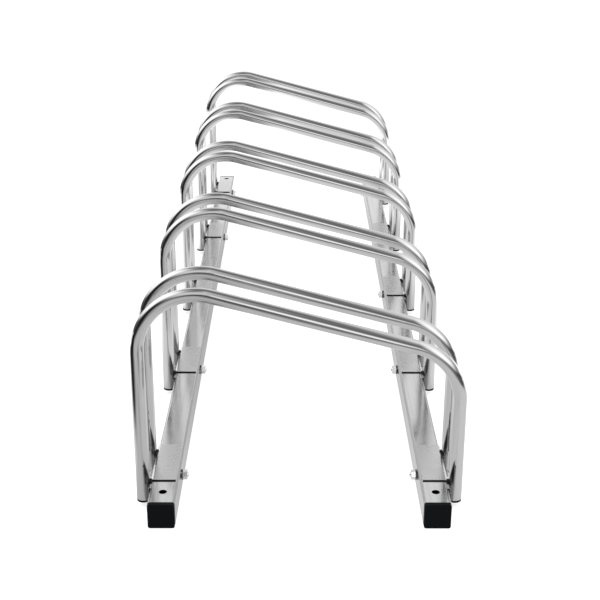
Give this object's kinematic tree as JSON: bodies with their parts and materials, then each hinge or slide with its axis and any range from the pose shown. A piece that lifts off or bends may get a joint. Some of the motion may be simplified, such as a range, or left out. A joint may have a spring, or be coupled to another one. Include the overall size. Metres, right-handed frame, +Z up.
{
  "type": "floor bike rack",
  "caption": "Floor bike rack: two square steel rails carry pairs of sloping bent tube hoops; a bicycle wheel stands between the two hoops of a pair.",
  "frame": {"origin": "centre of the footprint, on the floor", "axes": "+Z up; +Y along the two rails, away from the front end; the hoops stand across the rails in planes parallel to XZ, with their high shoulder towards -X"},
  "size_m": [0.364, 1.314, 0.2609],
  "materials": {
    "zinc_rail": "bright galvanised square tube with soft lengthwise streaks",
    "zinc_tube": "bright galvanised round tube with fine lengthwise lines",
    "zinc_bracket": "galvanised sheet",
    "weld_metal": "dull dark weld bead",
    "zinc_fastener": "zinc plated",
    "black_washer": "matt black",
    "black_plastic": "moulded satin black"
  },
  "bodies": {
    "root": {"rail_left": "zinc_rail", "rail_right": "zinc_rail", "rail_cap_front_left": "black_plastic", "rail_cap_front_right": "black_plastic", "rail_cap_rear_left": "black_plastic", "rail_cap_rear_right": "black_plastic", "hoop_1_front": "zinc_tube", "hoop_1_rear": "zinc_tube", "hoop_2_front": "zinc_tube", "hoop_2_rear": "zinc_tube", "hoop_3_front": "zinc_tube", "hoop_3_rear": "zinc_tube", "hoop_4_front": "zinc_tube", "hoop_4_rear": "zinc_tube", "hoop_5_front": "zinc_tube", "hoop_5_rear": "zinc_tube", "bracket_1_left": "zinc_bracket", "bracket_1_right": "zinc_bracket", "bracket_2_left": "zinc_bracket", "bracket_2_right": "zinc_bracket", "bracket_3_left": "zinc_bracket", "bracket_3_right": "zinc_bracket", "bracket_4_left": "zinc_bracket", "bracket_4_right": "zinc_bracket", "bracket_5_left": "zinc_bracket", "bracket_5_right": "zinc_bracket", "welds_1": "weld_metal", "leg_caps_1": "black_plastic", "clamp_bolts_1": "zinc_fastener", "clamp_washers_1": "black_washer", "clamp_nuts_1": "zinc_fastener", "welds_2": "weld_metal", "leg_caps_2": "black_plastic", "clamp_bolts_2": "zinc_fastener", "clamp_washers_2": "black_washer", "clamp_nuts_2": "zinc_fastener", "welds_3": "weld_metal", "leg_caps_3": "black_plastic", "clamp_bolts_3": "zinc_fastener", "clamp_washers_3": "black_washer", "clamp_nuts_3": "zinc_fastener", "welds_4": "weld_metal", "leg_caps_4": "black_plastic", "clamp_bolts_4": "zinc_fastener", "clamp_washers_4": "black_washer", "clamp_nuts_4": "zinc_fastener", "welds_5": "weld_metal", "leg_caps_5": "black_plastic", "clamp_bolts_5": "zinc_fastener", "clamp_washers_5": "black_washer", "clamp_nuts_5": "zinc_fastener"}
  },
  "joints": []
}
